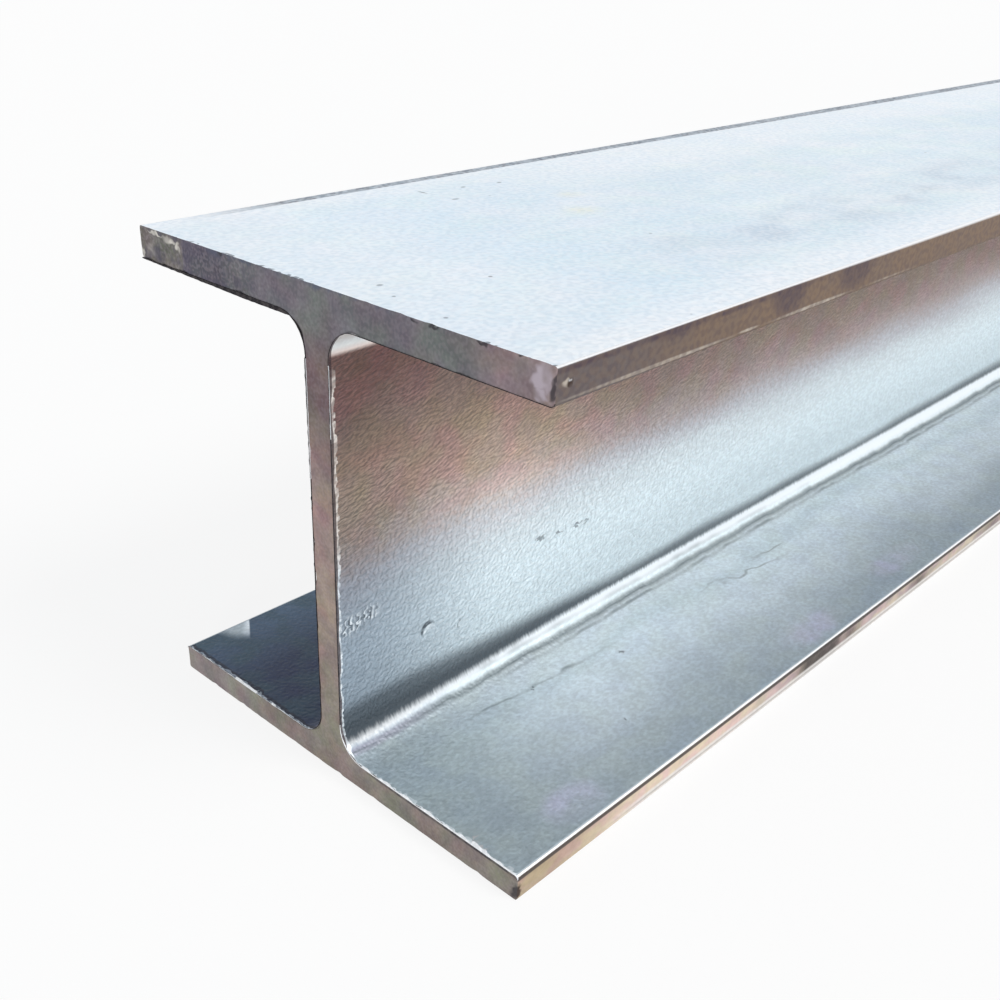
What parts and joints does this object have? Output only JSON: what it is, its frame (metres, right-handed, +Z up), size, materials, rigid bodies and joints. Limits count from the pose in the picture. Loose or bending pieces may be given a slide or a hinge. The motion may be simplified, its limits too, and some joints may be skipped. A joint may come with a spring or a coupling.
{
  "type": "steel i-beam",
  "caption": "Hot-rolled wide-flange steel beam: parallel flanges, a web as thick as they are, rounded root fillets, and ends sawn square. Carries load in bending or as a column.",
  "frame": {"origin": "under the middle of the beam's length, on the underside of the lower flange, midway between its edges", "axes": "+X across the flanges, +Y along the beam, +Z up through the web from the lower flange to the upper one"},
  "size_m": [0.204, 6, 0.2],
  "materials": {
    "mill_steel": "bare hot-rolled steel, pale blue-grey with brown tints, sawn ends darker"
  },
  "bodies": {
    "root": {"rolled_beam": "mill_steel"}
  },
  "joints": []
}
